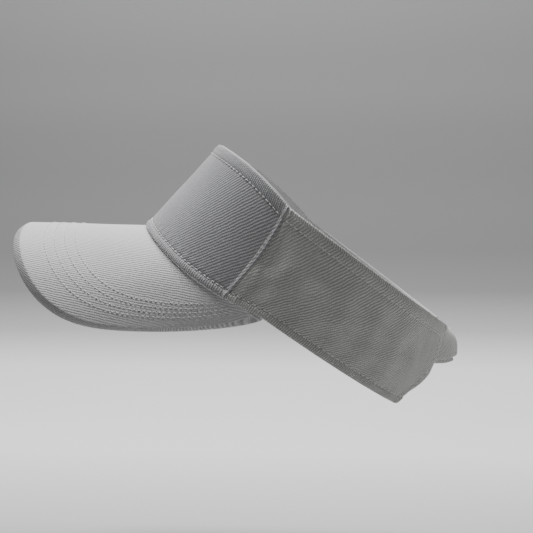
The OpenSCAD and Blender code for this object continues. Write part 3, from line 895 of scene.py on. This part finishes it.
def brim_map(points):
    """The cloth's map on a grid of the brim: length towards the back, and way round the arch."""
    section = points[..., [0, 2]]
    t = np.gradient(section, axis=0)
    t /= np.maximum(np.linalg.norm(t, axis=-1, keepdims=True), 1e-9)
    root = np.concatenate([[0], np.cumsum(np.linalg.norm(np.diff(section[:, 0], axis=0), axis=1))])
    root -= root[-1] / 2
    steps = (np.diff(section, axis=1) * (t[:, 1:] + t[:, :-1]) / 2).sum(-1)
    run = np.concatenate([0 * steps[:, :1], np.cumsum(steps, axis=1)], 1)
    return np.stack([points[..., 1], -(root[:, None] + run)], -1)


def row_relief(q):
    """Grooves at the stitch rows, with the cloth slightly full between them."""
    total = 0 * q
    for at in ROWS_AT:
        total = total - 0.06 * np.exp(-((q - at) / 0.7) ** 2)
    full = 0.05 * np.sin(math.pi * np.clip((q - ROWS_AT[0]) / (ROWS_AT[1] - ROWS_AT[0]), 0, 3)) ** 2
    return total + full


def build_brim():
    u = brim_columns(BRIM_SIDE, 1.1)[:, None]
    width = brim_width(u)
    # q is the distance in from the edge, d the depth below the top: the cover turns over the board's
    # edge in a slanting face, then tucks under
    count = 86
    q_top = (width - TURN_Q[0]) * np.linspace(1, 0, count)[None, :] + TURN_Q[0]
    q = np.concatenate([q_top, np.array([TURN_Q[1:]]) + 0 * width], 1)
    d = np.concatenate([0 * q_top, np.array([TURN_D[1:]]) + 0 * width], 1)
    q = np.minimum(q, width)
    run = np.linspace(0, 1, len(u))[:, None] * 400
    slack = waves(61, run, q, 6, 0.12, 70) * smooth(q / 8) * smooth((width - q) / 6)
    pucker = 0.02 * np.sin(2 * math.pi * run / 3.0) * smooth(1 - np.abs(q - 30) / 14)
    d = d - (row_relief(q) * (width > 24) + slack + pucker) * (d < 0.01)
    flat = 1 - q / width
    points = brim_point(u + 0 * q, flat, d)
    uv = brim_map(brim_skin(u + 0 * q, flat))
    uv[..., 1] -= 1.2 * np.minimum(np.maximum(d, 0), BRIM_T)
    quads = grid_quads(*q.shape)
    # The turned edge's faces take the edge twill, painted darker as shade.
    turned = quads[:, 0] % q.shape[1] >= count
    mesh = make_mesh("brim_top_cloth", points.reshape(-1, 3), quads, uv.reshape(-1, 2), turned)
    link(mesh, "brim_top_cloth", "visor", ["brim_top_cover"], [BRIM, EDGE_PAINTED_SHADE])
    top = Surface(points[:, :count], u[:, 0], np.linspace(0, 1, count), -1)

    across = 60
    q_u = (width - UNDER_INSET) * np.linspace(1, 0, across)[None, :] + UNDER_INSET
    ends = 0.9 * smooth(1 - (q_u - UNDER_INSET) / 1.0)
    lower = BRIM_T - 0.05 + row_relief(q_u) * 0.8 * (width > 24) - ends
    lower = lower + waves(62, run, q_u, 6, 0.1, 70) * smooth(q_u / 8)
    under = brim_point(u + 0 * q_u, 1 - q_u / width, lower)
    mesh = make_mesh("brim_under_cloth", under.reshape(-1, 3), grid_quads(*q_u.shape)[:, ::-1],
                     brim_map(brim_skin(u + 0 * q_u, 1 - q_u / width)).reshape(-1, 2))
    link(mesh, "brim_under_cloth", "visor", ["brim_under_cover"], [UNDER])
    below = Surface(under[:, ::-1], u[:, 0], np.linspace(0, 1, across), -1)
    stitch_brim(top, below)


def stitch_brim(top, below):
    for row, at in enumerate(ROWS_AT):
        u = brim_columns(ROWS_SIDE, 0.6)
        width = brim_width(u)
        u, width = u[width > at + 3], width[width > at + 3]
        share = 1 - (at - TURN_Q[0]) / (width - TURN_Q[0])
        parts = [stitches(top, u, share, pitch=ROW_STITCH, radius=0.27, proud=0.02, seed=70 + row)]
        low_share = (at - UNDER_INSET) / (width - UNDER_INSET)
        parts.append(stitches(below, u, low_share, pitch=ROW_STITCH, radius=0.27, proud=0.12, seed=80 + row))
        name = "brim_stitches_row_%d" % (row + 1)
        thread_piece(name, parts, "visor", ["brim_stitch_row_%d" % (row + 1)])


# ---------- stage, light and camera ----------

# Height in metres and tone painted on the paper there: the paper is painted darker up from the floor,
# painted shade where the overhead light falls off up the wall
WALL_SHADE_TONES = ((-0.18, 0.80), (-0.144, 0.76), (-0.095, 0.41), (-0.035, 0.225), (0.03, 0.19), (0.10, 0.20),
              (0.17, 0.20), (0.24, 0.215), (0.31, 0.25), (0.45, 0.27))


def build_stage():
    """A pale floor that sweeps up into a wall, painted darker up the wall as shade. The floor is painted
    darker in front as shade, so that less light bounces up from it.
    """
    floor_z, wall_x, bend = -0.185, -1.35, 0.55
    side_y, front_x, high = 3.2, 2.6, 2.6
    turn = np.linspace(0, math.pi / 2, 16)
    line = [(front_x, floor_z)] + [(wall_x + bend - bend * math.sin(t), floor_z + bend - bend * math.cos(t))
                                   for t in turn] + [(wall_x, high)]
    points = np.array([[x, y, z] for x, z in line for y in np.linspace(-side_y, side_y, 9)]) / MM
    mesh = make_mesh("sweep", points, grid_quads(len(line), 9)[:, ::-1], points[:, :2])
    obj = bpy.data.objects.new("sweep", mesh)
    bpy.context.scene.collection.objects.link(obj)
    net = Net("paper")
    place = net.node("ShaderNodeSeparateXYZ")
    net.tree.links.new(net.node("ShaderNodeNewGeometry").outputs["Position"], place.inputs[0])
    # the wall's ramp paints the paper darker up from the floor: painted shade
    wall = net.node("ShaderNodeValToRGB")
    net.tree.links.new(net.math("MULTIPLY_ADD", place.outputs[2], 1 / 0.7, 0.2 / 0.7), wall.inputs[0])
    tones = wall.color_ramp.elements
    tones.remove(tones[1])
    tones[0].position, tones[0].color = 0, grey(WALL_SHADE_TONES[0][1])
    for z, level in WALL_SHADE_TONES:
        tones.new((z + 0.2) / 0.7).color = grey(level)
    # the floor is painted darker towards the front: painted shade
    ahead = net.math("MULTIPLY_ADD", place.outputs[0], 1 / 0.8, 0.5625)
    near = net.node("ShaderNodeValToRGB")
    net.tree.links.new(ahead, near.inputs[0])
    near.color_ramp.elements[0].color = grey(1.0)
    near.color_ramp.elements[1].color = grey(0.30)
    both = net.node("ShaderNodeMix", data_type="RGBA", blend_type="MULTIPLY")
    both.inputs[0].default_value = 1.0
    net.tree.links.new(wall.outputs[0], both.inputs[6])
    net.tree.links.new(near.outputs[0], both.inputs[7])
    net.finish(both.outputs[2], None, 0, roughness=1.0, sheen=0.0)
    mesh.materials.append(net.material)


def area_light(name, location, target, size, energy, colour):
    data = bpy.data.lights.new(name, "AREA")
    data.shape, data.size, data.energy, data.color = "DISK", size, energy, colour
    obj = bpy.data.objects.new(name, data)
    bpy.context.scene.collection.objects.link(obj)
    obj.location = location
    direction = np.array(target, float) - np.array(location, float)
    obj.rotation_euler = Vector(direction).to_track_quat("-Z", "Y").to_euler()


def build_light():
    area_light("key", (-0.45, -0.35, 1.55), (-0.05, -0.03, 0), 1.25, 54, (0.98, 0.985, 1.0))
    area_light("wash", (-0.3, 0.9, 1.7), (-1.0, 0.5, -0.1), 0.9, 14, (1.0, 1.0, 0.99))
    world = bpy.data.worlds.new("room")
    world.use_nodes = True
    world.node_tree.nodes["Background"].inputs[0].default_value = (0.50, 0.495, 0.485, 1)
    world.node_tree.nodes["Background"].inputs[1].default_value = 0.205
    bpy.context.scene.world = world


def build_camera():
    data = bpy.data.cameras.new("camera")
    data.lens, data.sensor_width = 83.2, 36
    data.clip_start, data.clip_end = 0.01, 20
    cam = bpy.data.objects.new("camera", data)
    bpy.context.scene.collection.objects.link(cam)
    azimuth, distance = 96 * RAD, 0.8
    target = (0.0, -0.025, 0.004)
    side, behind = distance * math.sin(azimuth), -distance * math.cos(azimuth)
    cam.location = (target[0] + side, target[1] + behind, target[2])
    cam.rotation_euler = (math.pi / 2, 0, azimuth)
    bpy.context.scene.camera = cam


build_camera()
build_light()
build_stage()
panels = build_panels()
build_linings()
build_sweatband()
build_label()
stitch_panels(panels)
build_closure()
build_brim()
paint("brim_insert", BOARD)
paint("front_stiffener", BUCKRAM)
paint("left_seam_tape", LINING)
paint("right_seam_tape", LINING)
